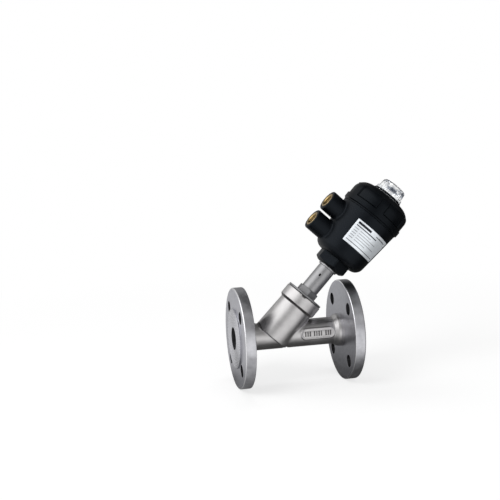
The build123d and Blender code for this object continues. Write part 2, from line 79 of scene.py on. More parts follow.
def node_tree(owner):
    """Clears an owner's node tree and returns functions that add nodes and link sockets."""
    owner.use_nodes = True
    tree = owner.node_tree
    tree.nodes.clear()
    return node_adder(tree), tree.links.new


def stand(name, shape, paints):
    """Turns a bmesh into an object with its materials and stands it in the scene."""
    data = bpy.data.meshes.new(name)
    shape.to_mesh(data)
    shape.free()
    for paint in paints:
        data.materials.append(paint)
    made = bpy.data.objects.new(name, data)
    bpy.context.scene.collection.objects.link(made)
    return made


def show_to_reflections(add, link):
    """One where a camera, glossy or transmission ray looks, and zero for other rays."""
    path = add("ShaderNodeLightPath")
    glossy = add("ShaderNodeMath", operation="MAXIMUM")
    clear = add("ShaderNodeMath", operation="MAXIMUM")
    link(path.outputs["Is Camera Ray"], glossy.inputs[0])
    link(path.outputs["Is Glossy Ray"], glossy.inputs[1])
    link(glossy.outputs[0], clear.inputs[0])
    link(path.outputs["Is Transmission Ray"], clear.inputs[1])
    return clear.outputs[0]


world = bpy.data.worlds.new("studio_surround")
bpy.context.scene.world = world
add, link = node_tree(world)
surround = add("ShaderNodeBackground", {"Color": (1, 1, 1, 1)})
level = add("ShaderNodeMapRange", {"To Min": AMBIENT, "To Max": 1.0})
surround_out = add("ShaderNodeOutputWorld")
link(show_to_reflections(add, link), level.inputs["Value"])
link(level.outputs[0], surround.inputs["Strength"])
link(surround.outputs[0], surround_out.inputs["Surface"])

floor_paint = bpy.data.materials.new("floor_paint")
add, link = node_tree(floor_paint)
matt = add("ShaderNodeBsdfDiffuse", {"Color": (0.86, 0.86, 0.86, 1)})
glow = add("ShaderNodeEmission")
share = add("ShaderNodeMath", operation="MULTIPLY")
spot_on_floor = add("ShaderNodeTexCoord")
from_object = add("ShaderNodeVectorMath", {1: SHADOW_MIDDLE}, operation="DISTANCE")
whiter = add("ShaderNodeMapRange", {
    "From Min": SHADOW_REACH[0], "From Max": SHADOW_REACH[1], "To Min": WHITE_SHARE, "To Max": 1.0,
}, interpolation_type="SMOOTHSTEP")
link(spot_on_floor.outputs["Object"], from_object.inputs[0])
link(from_object.outputs["Value"], whiter.inputs["Value"])
link(whiter.outputs[0], share.inputs[1])
blend = add("ShaderNodeMixShader")
floor_out = add("ShaderNodeOutputMaterial")
link(show_to_reflections(add, link), share.inputs[0])
link(share.outputs[0], blend.inputs["Fac"])
link(matt.outputs[0], blend.inputs[1])
link(glow.outputs[0], blend.inputs[2])
link(blend.outputs[0], floor_out.inputs["Surface"])
floor_shape = bmesh.new()
bmesh.ops.create_grid(floor_shape, x_segments=1, y_segments=1, size=FLOOR_SIZE / 2)
bmesh.ops.translate(floor_shape, verts=floor_shape.verts, vec=(0, 0, cad_low.z - FLOOR_GAP))
floor = stand("studio_floor", floor_shape, [floor_paint])


def soft_lamp(name, place, aim, width, height, watts):
    """A rectangular area lamp at a place, turned to face a point."""
    lamp = bpy.data.lights.new(name, "AREA")
    lamp.shape = "RECTANGLE"
    lamp.size = width
    lamp.size_y = height
    lamp.energy = watts
    holder = bpy.data.objects.new(name, lamp)
    bpy.context.scene.collection.objects.link(holder)
    holder.location = place
    holder.rotation_euler = (Vector(aim) - Vector(place)).to_track_quat("-Z", "Y").to_euler()
    holder.visible_glossy = False


valve_middle = (cad_low + cad_high) / 2
soft_lamp("key_lamp", (-0.95, -0.65, 1.10), valve_middle, 0.80, 0.80, 17.0)
soft_lamp("fill_lamp", (1.10, -0.90, 0.35), valve_middle, 0.50, 0.90, 3.5)
soft_lamp("top_lamp", (0.15, 0.45, 1.25), valve_middle, 0.70, 0.35, 5.0)


# The reflection tent is what polished surfaces see: brighter to the left, with bright patches at
# the upper left, low in front and on the right, and dark ones overhead, below and at the lower
# left.  Each patch has a direction, an outer and an inner angle, and a level.
TENT_RADIUS, TENT_GAP = 3.0, 0.0001
TENT_LEVEL, TENT_SLOPE, TENT_FLOOR = 0.38, -0.50, 0.07
TENT_SPOTS = (
    ((-0.70, -0.14, 0.70), 48.0, 16.0, 1.05),
    ((0.25, -0.93, -0.28), 46.0, 10.0, 0.84),
    ((0.20, 0.12, 0.97), 50.0, 14.0, -0.20),
    ((0.00, 0.35, -0.93), 60.0, 26.0, -0.26),
    ((0.86, -0.30, 0.40), 60.0, 16.0, 0.26),
    ((-0.52, 0.02, -0.85), 36.0, 12.0, -0.42),
)
tent_paint = bpy.data.materials.new("tent_paint")
add, link = node_tree(tent_paint)
place_in_tent = add("ShaderNodeTexCoord")
from_middle = add("ShaderNodeVectorMath", {1: valve_middle}, operation="SUBTRACT")
heading = add("ShaderNodeVectorMath", operation="NORMALIZE")
apart = add("ShaderNodeSeparateXYZ")
level = add("ShaderNodeMath", {1: TENT_SLOPE, 2: TENT_LEVEL}, operation="MULTIPLY_ADD")
link(place_in_tent.outputs["Object"], from_middle.inputs[0])
link(from_middle.outputs[0], heading.inputs[0])
link(heading.outputs[0], apart.inputs[0])
link(apart.outputs["X"], level.inputs[0])
total = level.outputs[0]
for direction, outer, inner, strength in TENT_SPOTS:
    towards = add("ShaderNodeVectorMath", {
        1: Vector(direction).normalized(),
    }, operation="DOT_PRODUCT")
    spot = add("ShaderNodeMapRange", {
        "From Min": cos(radians(outer)), "From Max": cos(radians(inner)), "To Max": strength,
    }, interpolation_type="SMOOTHSTEP")
    joined = add("ShaderNodeMath", operation="ADD")
    link(heading.outputs[0], towards.inputs[0])
    link(towards.outputs["Value"], spot.inputs["Value"])
    link(total, joined.inputs[0])
    link(spot.outputs[0], joined.inputs[1])
    total = joined.outputs[0]
lowest = add("ShaderNodeMath", {1: TENT_FLOOR}, operation="MAXIMUM")
tent_glow = add("ShaderNodeEmission")
tent_out = add("ShaderNodeOutputMaterial")
link(total, lowest.inputs[0])
link(lowest.outputs[0], tent_glow.inputs["Strength"])
link(tent_glow.outputs[0], tent_out.inputs["Surface"])
tent_shape = bmesh.new()
bmesh.ops.create_uvsphere(tent_shape, u_segments=64, v_segments=32, radius=TENT_RADIUS)
bmesh.ops.translate(tent_shape, verts=tent_shape.verts, vec=valve_middle)
for vert in tent_shape.verts:
    vert.co.z = max(vert.co.z, cad_low.z - TENT_GAP)
tent = stand("reflection_tent", tent_shape, [tent_paint])
tent.visible_camera = False
tent.visible_diffuse = False
tent.visible_shadow = False
tent.visible_transmission = False

# ---------------------------------------------------------------------------------------------
# Camera: stands about a metre in front of the valve, 12 degrees round to the left and 9 degrees
# above it, with a 71 mm lens and a slight roll.
# ---------------------------------------------------------------------------------------------
AZIMUTH, ELEVATION, ROLL = radians(-12.147), radians(9.393), radians(-2.011)
CAMERA_PLACE = (-0.20776, -1.06993, 0.28123)
SENSOR_WIDTH, FOCAL_LENGTH = 36.0, 71.34
back = Vector((sin(AZIMUTH) * cos(ELEVATION), -cos(AZIMUTH) * cos(ELEVATION), sin(ELEVATION)))
level_right = Vector((0, 0, 1)).cross(back).normalized()
level_up = back.cross(level_right)
right = cos(ROLL) * level_right + sin(ROLL) * level_up
up = back.cross(right)
lens = bpy.data.cameras.new("camera")
lens.sensor_width = SENSOR_WIDTH
lens.lens = FOCAL_LENGTH
camera = bpy.data.objects.new("camera", lens)
bpy.context.scene.collection.objects.link(camera)
turn = Matrix((right, up, back)).transposed().to_4x4()
camera.matrix_world = Matrix.Translation(CAMERA_PLACE) @ turn
bpy.context.scene.camera = camera
bpy.context.scene.view_settings.view_transform = "Standard"

# ---------------------------------------------------------------------------------------------
# Inlet flange: a PN16 slip-on plate turned from stainless bar, with a raised sealing face that
# carries fine concentric serrations and four drilled bolt holes.  It is welded to the body.
# ---------------------------------------------------------------------------------------------
MM = 0.001
FLANGE_SIZES = {"radius": 57.5, "back": 14.0, "bore": 12.8, "face": 34.0, "step": 2.0}
BOLT_CIRCLE, BOLT_RADIUS = 42.5, 7.0
BOLT_BEARINGS = [radians(45 + 90 * k) for k in range(4)]
BOLT_PLACES = [(BOLT_CIRCLE * cos(turn), BOLT_CIRCLE * sin(turn)) for turn in BOLT_BEARINGS]
SERRATION_PITCH, SERRATION_DEPTH = 1.75, 0.22
DRILLED_SHADE, FACED, RIM, EDGE_HIGHLIGHT = 1, 2, 3, 4


def rounded(corners, parts=4, keep=0.12):
    """Replaces each (radius, height, round) corner of an outline by a small arc of points."""
    points = []
    count = len(corners)
    for index, corner in enumerate(corners):
        here = Vector(corner[:2])
        size = corner[2] if len(corner) > 2 else 0.0
        if not size:
            points.append(tuple(here))
            continue
        before = (Vector(corners[index - 1][:2]) - here).normalized()
        after = (Vector(corners[(index + 1) % count][:2]) - here).normalized()
        half = before.angle(after) / 2
        reach = size / max(0.05, abs(sin(half) / cos(half)))
        centre = here + (before + after).normalized() * (size / max(0.05, sin(half)))
        start, end = here + before * reach, here + after * reach
        points.append(tuple(start + before * keep))
        sweep = (start - centre).angle_signed(end - centre)
        for part in range(parts + 1):
            turn_by = Matrix.Rotation(-sweep * part / parts, 2)
            points.append(tuple(centre + turn_by @ (start - centre)))
        points.append(tuple(end + after * keep))
    return points


def lathe(shape, outline, steps=160, place=None, closed=True):
    """Spins an outline of (radius, height) points in mm about Z and puts it in place."""
    made = [shape.verts.new((r * MM, 0, h * MM)) for r, h in outline]
    pairs = list(zip(made, made[1:] + made[:1] if closed else made[1:]))
    edges = [shape.edges.new(pair) for pair in pairs]
    result = bmesh.ops.spin(
        shape, geom=made + edges, cent=(0, 0, 0), axis=(0, 0, 1), angle=2 * pi,
        steps=steps, use_merge=True, use_duplicate=False,
    )
    shape.verts.ensure_lookup_table()
    fresh = [v for v in shape.verts if not v.tag]
    if place is not None:
        bmesh.ops.transform(shape, matrix=place, verts=fresh)
    for vert in fresh:
        vert.tag = True
    return fresh


def finish_piece(name, shape, body, nodes, paint, also=(), crease=radians(26)):
    """Turns a bmesh into a smooth shaded piece that rides a body in place of CAD nodes."""
    bmesh.ops.remove_doubles(shape, verts=shape.verts, dist=0.004 * MM)
    bmesh.ops.dissolve_degenerate(shape, edges=shape.edges, dist=0.001 * MM)
    bmesh.ops.recalc_face_normals(shape, faces=shape.faces)
    for face in shape.faces:
        face.smooth = True
    for edge in shape.edges:
        if len(edge.link_faces) == 2 and edge.calc_face_angle(0.0) > crease:
            edge.smooth = False
    piece = stand(name, shape, [paint, *also])
    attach(piece, body)
    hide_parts(*nodes)


def effect(name, inputs, outputs):
    """Starts a node group; returns it, its add and link functions, its input and its output."""
    made = bpy.data.node_groups.new(name, "ShaderNodeTree")
    for label, kind, start in inputs:
        made.interface.new_socket(label, in_out="INPUT", socket_type=kind)
        if start is not None:
            made.interface.items_tree[-1].default_value = start
    for label, kind in outputs:
        made.interface.new_socket(label, in_out="OUTPUT", socket_type=kind)

    add = node_adder(made)
    return made, add, made.links.new, add("NodeGroupInput"), add("NodeGroupOutput")


def turned_marks_effect():
    """Fine tool rings about local Z, with a broad mottle: gives a height and a tone."""
    made, add, link, given, out = effect(
        "turned_marks",
        [("Vector", "NodeSocketVector", None), ("Pitch", "NodeSocketFloat", 0.35)],
        [("Height", "NodeSocketFloat"), ("Tone", "NodeSocketFloat")],
    )
    apart = add("ShaderNodeSeparateXYZ")
    radius = add("ShaderNodeVectorMath", operation="LENGTH")
    flat = add("ShaderNodeCombineXYZ")
    joined = add("ShaderNodeCombineXYZ")
    per_mm = add("ShaderNodeMath", {0: 1000.0}, operation="DIVIDE")
    scaled = add("ShaderNodeVectorMath", operation="SCALE")
    rings = add("ShaderNodeTexNoise", {"Scale": 1.0, "Detail": 3.0}, noise_dimensions="2D")
    mottle = add("ShaderNodeTexNoise", {
        "Scale": 330.0, "Detail": 6.0, "Roughness": 0.70,
    }, noise_dimensions="3D")
    link(given.outputs["Vector"], apart.inputs[0])
    link(apart.outputs["X"], flat.inputs["X"])
    link(apart.outputs["Y"], flat.inputs["Y"])
    link(flat.outputs[0], radius.inputs[0])
    link(radius.outputs["Value"], joined.inputs["X"])
    link(apart.outputs["Z"], joined.inputs["Y"])
    link(given.outputs["Pitch"], per_mm.inputs[1])
    link(joined.outputs[0], scaled.inputs[0])
    link(per_mm.outputs[0], scaled.inputs["Scale"])
    link(scaled.outputs[0], rings.inputs["Vector"])
    link(given.outputs["Vector"], mottle.inputs["Vector"])
    link(rings.outputs["Fac"], out.inputs["Height"])
    link(mottle.outputs["Fac"], out.inputs["Tone"])
    return made


def grain_effect():
    """Fine even grain with a slow wander, for cast and moulded skins."""
    made, add, link, given, out = effect(
        "skin_grain",
        [("Vector", "NodeSocketVector", None), ("Scale", "NodeSocketFloat", 900.0)],
        [("Height", "NodeSocketFloat"), ("Tone", "NodeSocketFloat")],
    )
    fine = add("ShaderNodeTexNoise", {"Detail": 4.0, "Roughness": 0.6}, noise_dimensions="3D")
    slow = add("ShaderNodeTexNoise", {
        "Scale": 70.0, "Detail": 4.0, "Roughness": 0.6,
    }, noise_dimensions="3D")
    link(given.outputs["Vector"], fine.inputs["Vector"])
    link(given.outputs["Scale"], fine.inputs["Scale"])
    link(given.outputs["Vector"], slow.inputs["Vector"])
    link(fine.outputs["Fac"], out.inputs["Height"])
    link(slow.outputs["Fac"], out.inputs["Tone"])
    return made


TURNED_MARKS = turned_marks_effect()
SKIN_GRAIN = grain_effect()
PIPE_TURN = (0.0, pi / 2, 0.0)
TONE_LOW, TONE_HIGH = 0.30, 0.70


def ramp(add, low, dark, high, light):
    """A colour ramp that goes from dark at low to light at high."""
    tones = add("ShaderNodeValToRGB")
    for index, (place, colour) in enumerate(((low, dark), (high, light))):
        tones.color_ramp.elements[index].position = place
        tones.color_ramp.elements[index].color = (*colour, 1)
    return tones


def surface(name, pattern, setting, dark, light, rough, height, metallic=1.0, specular=0.5,
            place=(0, 0, 0), turn_by=(0, 0, 0), sheen_tint=(1, 1, 1), clear=0.0):
    """A Principled material whose colour, roughness and normal follow one of the effects."""
    paint = bpy.data.materials.new(name)
    add, link = node_tree(paint)
    where = add("ShaderNodeTexCoord")
    local = add("ShaderNodeMapping", {
        "Location": place, "Rotation": turn_by,
    }, vector_type="TEXTURE")
    marks = add("ShaderNodeGroup", {1: setting}, node_tree=pattern)
    tones = ramp(add, TONE_LOW, dark, TONE_HIGH, light)
    shine = add("ShaderNodeMapRange", {
        "From Min": TONE_LOW, "From Max": TONE_HIGH, "To Min": rough[0], "To Max": rough[1],
    })
    bump = add("ShaderNodeBump", {"Strength": 1.0, "Distance": height * MM})
    skin = add("ShaderNodeBsdfPrincipled", {
        "Metallic": metallic, "Specular IOR Level": specular, "Specular Tint": (*sheen_tint, 1),
        "Transmission Weight": clear,
    })
    result = add("ShaderNodeOutputMaterial")
    link(where.outputs["Object"], local.inputs["Vector"])
    link(local.outputs[0], marks.inputs["Vector"])
    link(marks.outputs["Tone"], tones.inputs["Fac"])
    link(marks.outputs["Tone"], shine.inputs["Value"])
    link(marks.outputs["Height"], bump.inputs["Height"])
    link(tones.outputs["Color"], skin.inputs["Base Color"])
    link(shine.outputs[0], skin.inputs["Roughness"])
    link(bump.outputs["Normal"], skin.inputs["Normal"])
    link(skin.outputs[0], result.inputs["Surface"])
    return paint


# Bore and bolt-hole walls: a near-black steel, painted shade inside the holes.
drilled_painted_shade = surface(
    "drilled_painted_shade", SKIN_GRAIN, 800.0, (0.07, 0.07, 0.075), (0.13, 0.13, 0.137),
    (0.42, 0.52), 0.02,
)
faced_steel = surface(
    "faced_steel", TURNED_MARKS, 0.20, (0.52, 0.52, 0.55), (0.72, 0.72, 0.76),
    (0.24, 0.32), 0.014, turn_by=PIPE_TURN,
)
# The rounded front edge of the rim: a near-white steel, a painted highlight along the edge.
edge_painted_highlight = surface(
    "edge_painted_highlight", TURNED_MARKS, 0.12, (0.86, 0.86, 0.88), (0.94, 0.94, 0.96),
    (0.20, 0.26), 0.006, turn_by=PIPE_TURN,
)
ground_rim = surface(
    "ground_rim", SKIN_GRAIN, 620.0, (0.44, 0.44, 0.465), (0.72, 0.72, 0.75),
    (0.30, 0.42), 0.055,
)
flange_steel = surface(
    "flange_steel", TURNED_MARKS, 0.30, (0.45, 0.45, 0.485), (0.60, 0.605, 0.645),
    (0.32, 0.40), 0.012, turn_by=PIPE_TURN,
)


def flange_piece(name, place, serrated_to=33.0):
    """One flange, drawn with its raised face at height 0 and its back at the top."""
    shape = bmesh.new()
    edge, back, bore = FLANGE_SIZES["radius"], FLANGE_SIZES["back"], FLANGE_SIZES["bore"]
    face, step = FLANGE_SIZES["face"], FLANGE_SIZES["step"]
    margin = 1.6
    rim = rounded([
        (edge - margin, step), (edge, step, 1.35), (edge, back, 1.1), (edge - margin, back),
    ])
    lathe(shape, rim, closed=False)
    groove = bore + margin
    inner = rounded([(bore + margin, back), (bore, back, 0.4), (bore, 0.0, 0.5), (groove - 0.2, 0.0)])
    while groove < serrated_to - 0.9:
        inner += [(groove, 0.0), (groove + 0.45, SERRATION_DEPTH)]
        inner += [(groove + 0.70, SERRATION_DEPTH), (groove + 1.15, 0.0)]
        groove += SERRATION_PITCH
    inner += rounded([(serrated_to, 0.0), (face, 0.0, 0.35), (face, step, 0.3), (face + 1.2, step)])
    lathe(shape, inner, closed=False)
    around = BOLT_RADIUS + 0.8
    hole = rounded([
        (around, step), (BOLT_RADIUS, step, 0.35), (BOLT_RADIUS, back, 0.35), (around, back),
    ])
    for x, y in BOLT_PLACES:
        lathe(shape, hole, steps=48, closed=False, place=Matrix.Translation((x * MM, y * MM, 0)))
    bmesh.ops.remove_doubles(shape, verts=shape.verts, dist=0.004 * MM)
    for height, facing in ((step, -1), (back, 1)):
        open_edges = [
            e for e in shape.edges
            if e.is_boundary and all(abs(v.co.z - height * MM) < 0.01 * MM for v in e.verts)
        ]
        bmesh.ops.triangle_fill(shape, use_beauty=True, edges=open_edges, normal=(0, 0, facing))
    # The bore and bolt-hole walls take the near-black steel: painted shade inside the holes.
    for flat in shape.faces:
        middle = flat.calc_center_median() / MM
        if middle.xy.length < bore + 0.2 or (
            min(hypot(middle.x - x, middle.y - y) for x, y in BOLT_PLACES) < BOLT_RADIUS + 0.1
        ):
            flat.material_index = DRILLED_SHADE
        elif middle.xy.length < face + 0.1 and middle.z < 0.3:
            flat.material_index = FACED
        elif middle.xy.length > edge - 0.12:
            flat.material_index = RIM
        # The rounded front edge takes the near-white steel: a painted highlight.
        elif middle.xy.length > edge - 1.3:
            flat.material_index = EDGE_HIGHLIGHT
    bmesh.ops.transform(shape, matrix=place, verts=shape.verts)
    finish_piece(
        name + "_plate", shape, "valve", [name], flange_steel,
        also=[drilled_painted_shade, faced_steel, ground_rim, edge_painted_highlight],
    )


INLET_PLACE = Matrix(((0, 0, 1, 0), (1, 0, 0, 0), (0, 1, 0, 0), (0, 0, 0, 1)))
flange_piece("inlet_flange", INLET_PLACE)

# ---------------------------------------------------------------------------------------------
# Outlet flange: the same drilled plate, turned from the same bar.  It faces the other way and is
# welded on the outlet end of the pipe.
# ---------------------------------------------------------------------------------------------
OUTLET_PLACE = Matrix(((0, 0, -1, 140 * MM), (-1, 0, 0, 0), (0, 1, 0, 0), (0, 0, 0, 1)))
flange_piece("outlet_flange", OUTLET_PLACE)

# ---------------------------------------------------------------------------------------------
# Valve body: a shot-blasted investment casting in stainless steel.  The pipe, the leaning neck
# and the collar are one piece with soft cast corners, and the neck blends into the outlet pipe.
# ---------------------------------------------------------------------------------------------
BONNET_TILT = radians(47.0)
CROSSING_X = 44.0
CROSSING = Vector((CROSSING_X * MM, 0, 0))
LOCAL_X = Vector((sin(BONNET_TILT), 0, -cos(BONNET_TILT)))
LOCAL_Z = Vector((cos(BONNET_TILT), 0, sin(BONNET_TILT)))
BONNET_AXES = Matrix((LOCAL_X, Vector((0, 1, 0)), LOCAL_Z)).transposed()
BONNET_PLACE = Matrix.Translation(CROSSING) @ BONNET_AXES.to_4x4()
BONNET_TURN = tuple(BONNET_PLACE.to_euler())
ON_BONNET = {"place": tuple(CROSSING), "turn_by": BONNET_TURN}
PIPE_RADIUS, COLLAR_RADIUS, COLLAR_TOP = 15.5, 23.0, 58.0
NECK_FOOT, NECK_TOP, NECK_NEAR_PIPE = (-1.0, 21.5), (42.8, 20.4), 21.2
CREASE_SLOPE = 0.0251


def in_bonnet(x, z):
    """How far a point of the XZ plane lies along the bonnet axis and across it, in mm."""
    return (x - CROSSING_X) * LOCAL_Z.x + z * LOCAL_Z.z, (x - CROSSING_X) * LOCAL_X.x + z * LOCAL_X.z


def neck_radius(along):
    """Radius of the slightly tapered neck at a distance along the bonnet axis."""
    slope = (NECK_FOOT[1] - NECK_TOP[1]) / (NECK_TOP[0] - NECK_FOOT[0])
    return NECK_FOOT[1] - (along - NECK_FOOT[0]) * slope


def soft_copy(name, node, voxel, rounds, weigh=None, extra_rounds=0, settle=None):
    """A merged copy of a CAD mesh, remeshed evenly and smoothed; weigh picks extra smoothing."""
    shape = bmesh.new()
    shape.from_mesh(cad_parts[node].data)
    bmesh.ops.remove_doubles(shape, verts=shape.verts, dist=0.002 * MM)
    data = bpy.data.meshes.new(name)
    shape.to_mesh(data)
    shape.free()
    holder = bpy.data.objects.new(name + "_source", data)
    bpy.context.scene.collection.objects.link(holder)
    even = holder.modifiers.new("even", "REMESH")
    even.mode = "VOXEL"
    even.voxel_size = voxel * MM
    graph = bpy.context.evaluated_depsgraph_get()
    result = bpy.data.meshes.new_from_object(holder.evaluated_get(graph))
    bpy.data.objects.remove(holder)
    bpy.data.meshes.remove(data)
    points = np.empty(len(result.vertices) * 3)
    result.vertices.foreach_get("co", points)
    points = points.reshape(-1, 3)
    ends = np.empty(len(result.edges) * 2, dtype=int)
    result.edges.foreach_get("vertices", ends)
    ends = ends.reshape(-1, 2)
    valence = np.maximum(np.bincount(ends.ravel(), minlength=len(points)), 1)[:, None]

    def pull():
        total = np.zeros_like(points)
        for axis in range(3):
            total[:, axis] = np.bincount(ends[:, 0], points[ends[:, 1], axis], len(points))
            total[:, axis] += np.bincount(ends[:, 1], points[ends[:, 0], axis], len(points))
        return total / valence - points

    for _ in range(rounds):
        points += 0.5 * pull()
        points -= 0.53 * pull()
    if weigh is not None:
        share = weigh(points)[:, None]
        for _ in range(extra_rounds):
            points += 0.5 * share * pull()
    if settle is not None:
        points = settle(points)
    result.vertices.foreach_set("co", points.ravel())
    shape = bmesh.new()
    shape.from_mesh(result)
    bpy.data.meshes.remove(result)
    return shape


def body_blend(points):
    """One along the corner between the neck and the outlet pipe, fading over a few mm."""
    x, y, z = (points / MM).T
    from_pipe = np.abs(np.hypot(y, z) - PIPE_RADIUS)
    along, across = in_bonnet(x, z)
    from_neck = np.abs(np.hypot(across, y) - NECK_NEAR_PIPE)
    near = np.clip(1.0 - (from_pipe + from_neck) / 5.0, 0.0, 1.0)
    return near * np.clip((along + 3.0) / 6.0, 0.06, 1.0)


def true_to_form(points):
    """Puts points that lie within a third of a mm of a turned surface exactly on it."""
    x, y, z = (points / MM).T
    along, across = in_bonnet(x, z)
    out = np.hypot(across, y)
    pipe = np.hypot(y, z)
    clear = body_blend(points) <= 0.0
    wanted = out.copy()
    on_collar = (along > 46.2) & (along < 57.2) & (np.abs(out - COLLAR_RADIUS) < 0.35)
    wanted[on_collar] = COLLAR_RADIUS
    cone = neck_radius(along)
    on_neck = clear & (along > 1.0) & (along < 42.0) & (np.abs(out - cone) < 0.35)
    wanted[on_neck] = cone[on_neck]
    level = along.copy()
    on_top = (np.abs(along - COLLAR_TOP) < 0.6) & (out > 17.5) & (out < 22.3)
    level[on_top] = COLLAR_TOP - 0.03
    factor = wanted / np.maximum(out, 1e-6)
    across, side = across * factor, y * factor
    moved = np.outer(across, LOCAL_X) + np.outer(level, LOCAL_Z)
    moved[:, 0] += CROSSING_X
    moved[:, 1] = side
    on_pipe = clear & (np.abs(pipe - PIPE_RADIUS) < 0.3) & ~on_neck & ~on_collar & ~on_top
    on_pipe &= ~((np.abs(x - 95.0) < 21.0) & (np.abs(z - 1.5) < 7.5) & (y < 0))
    pipe_factor = PIPE_RADIUS / np.maximum(pipe, 1e-6)
    moved[on_pipe, 0] = x[on_pipe]
    moved[on_pipe, 1] = (y * pipe_factor)[on_pipe]
    moved[on_pipe, 2] = (z * pipe_factor)[on_pipe]
    return moved * MM


cast_steel = surface(
    "cast_steel", SKIN_GRAIN, 1100.0, (0.47, 0.46, 0.462), (0.60, 0.59, 0.59),
    (0.29, 0.37), 0.030,
)
# A darker copy of the cast steel: painted shade for the undercut below the collar and the crease at the
# neck's foot.
cast_painted_shade = surface(
    "cast_painted_shade", SKIN_GRAIN, 1100.0, (0.13, 0.125, 0.125), (0.20, 0.195, 0.195),
    (0.42, 0.52), 0.030,
)


def in_painted_shade(middle):
    """True in the undercut below the collar and in the crease where the neck meets the pipe: the faces
    painted in shade.
    """
    along, across = in_bonnet(middle.x, middle.z)
    from_axis, from_pipe = hypot(across, middle.y), hypot(middle.y, middle.z)
    undercut = 42.9 < along < 45.5 and from_axis < COLLAR_RADIUS
    cone = NECK_FOOT[1] - (along - NECK_FOOT[0]) * CREASE_SLOPE
    on_pipe, on_neck = abs(from_pipe - PIPE_RADIUS) < 1.2, abs(from_axis - cone) < 1.2
    return undercut or (on_pipe and on_neck and along > -1.6 and middle.x < 58.0)


def paint_faces(shape, index, chosen):
    """Gives the faces whose middle, in mm, is chosen another of the piece's materials."""
    for face in shape.faces:
        if chosen(face.calc_center_median() / MM):
            face.material_index = index


BODY_VOXEL = 0.6
body_shape = soft_copy("valve_body", "valve_body", BODY_VOXEL, 3, body_blend, 30, true_to_form)
# The undercut and the crease take the darker steel: painted shade.
paint_faces(body_shape, 1, in_painted_shade)
finish_piece(
    "cast_body", body_shape, "valve", ["valve_body"], cast_steel,
    also=[cast_painted_shade], crease=pi,
)

# ---------------------------------------------------------------------------------------------
# Outlet hub: the thicker collar on the end of the outlet pipe where the flange is welded, with
# a soft cast corner up from the pipe.
# ---------------------------------------------------------------------------------------------
hub = rounded([
    (15.0, 113.6), (15.45, 113.7), (15.8, 115.6, 1.4), (18.3, 119.6, 2.2), (18.85, 122.0, 1.0),
    (18.85, 126.05, 0.2), (15.0, 126.05),
])
shape = bmesh.new()
lathe(shape, hub, place=INLET_PLACE)
finish_piece("outlet_hub", shape, "valve", [], cast_steel)

# ---------------------------------------------------------------------------------------------
# Size field: the raised oblong frame cast on the front of the outlet pipe, with ten plain
# raised bars inside it where a casting carries its size marks.
# ---------------------------------------------------------------------------------------------
FIELD_PLACE, FIELD_LENGTH, FIELD_WIDTH = (95.0, 1.5), 40.0, 12.5
RIM_WIDTH, RIM_RISE = 0.95, 0.85
BAR_PLACES = (-14.6, -11.9, -9.2, -4.2, -1.5, 1.2, 3.9, 9.3, 12.0, 14.6)
BAR_LENGTHS = (1.5, 1.5, 1.7, 1.5, 1.3, 1.7, 1.3, 1.6, 1.3, 1.5)
BAR_HEIGHT, BAR_RISE, BAR_SUNK = 6.2, 0.65, -0.3


def on_pipe_wall(x, z, rise):
    """A point on the front of the pipe, lifted off its wall by rise mm."""
    bearing = z / PIPE_RADIUS
    radius = PIPE_RADIUS + rise
    return Vector((x, -radius * cos(bearing), radius * sin(bearing))) * MM


def oblong(length, width, parts=16):
    """Points round a slot shape, half circles joined by straight sides."""
    half, radius = (length - width) / 2, width / 2
    points = []
    for end in (1, -1):
        for part in range(parts + 1):
            angle = -pi / 2 + pi * part / parts
            points.append((end * (half + radius * cos(angle)), end * radius * sin(angle)))
        points += [(end * half * (1 - k / 4), end * radius) for k in range(1, 8)]
    return points


shape = bmesh.new()
profile = [(0.0, -0.3), (0.0, 0.35), (0.18, 0.8), (0.5, 1.0), (0.82, 0.8), (1.0, 0.35), (1.0, -0.3)]
loops = []
for share, rise in profile:
    inset = 2 * RIM_WIDTH * share
    loop = [
        shape.verts.new(on_pipe_wall(FIELD_PLACE[0] + u, FIELD_PLACE[1] + v, rise * RIM_RISE))
        for u, v in oblong(FIELD_LENGTH - inset, FIELD_WIDTH - inset)
    ]
    loops.append([shape.edges.new(pair) for pair in zip(loop, loop[1:] + loop[:1])])
for one, other in zip(loops, loops[1:] + loops[:1]):
    bmesh.ops.bridge_loops(shape, edges=one + other)
for middle, length in zip(BAR_PLACES, BAR_LENGTHS):
    grid = bmesh.ops.create_grid(shape, x_segments=10, y_segments=8, size=0.5)["verts"]
    for vert in grid:
        u, v = vert.co.x, vert.co.y
        lift = BAR_RISE if max(abs(u), abs(v)) < 0.45 else BAR_SUNK
        x, z = FIELD_PLACE[0] + middle + u * length, FIELD_PLACE[1] + v * BAR_HEIGHT
        vert.co = on_pipe_wall(x, z, lift)
    faces = list({f for v in grid for f in v.link_faces})
    bmesh.ops.recalc_face_normals(shape, faces=faces)
    if faces[0].normal.y > 0:
        bmesh.ops.reverse_faces(shape, faces=faces)
    bmesh.ops.solidify(shape, geom=faces, thickness=0.25 * MM)


def in_field(middle):
    """True within the oblong frame, on the bars and between them: these faces take the darker
    painted-shade steel.
    """
    return abs(middle.x - FIELD_PLACE[0]) < 16.0 and abs(middle.z - FIELD_PLACE[1]) < 3.4


# The field within the frame, bars included, is painted with the darker steel: painted shade in the
# recess.
paint_faces(shape, 1, in_field)
finish_piece("size_field", shape, "valve", [], cast_steel, also=[cast_painted_shade], crease=pi)

# ---------------------------------------------------------------------------------------------
# Bonnet gasket: a thin dark ring cut from graphite sheet.  It is squeezed between the top of the
# collar and the bonnet's flange.
# ---------------------------------------------------------------------------------------------
graphite = surface(
    "graphite", SKIN_GRAIN, 1500.0, (0.02, 0.02, 0.022), (0.05, 0.05, 0.053),
    (0.55, 0.75), 0.02, metallic=0.0,
)
shape = bmesh.new()
lathe(shape, rounded([
    (17.0, COLLAR_TOP), (21.8, COLLAR_TOP, 0.2), (21.8, 58.6, 0.2), (17.0, 58.6),
], keep=0.02), place=BONNET_PLACE)
finish_piece("gasket_ring", shape, "valve", ["bonnet_gasket"], graphite)

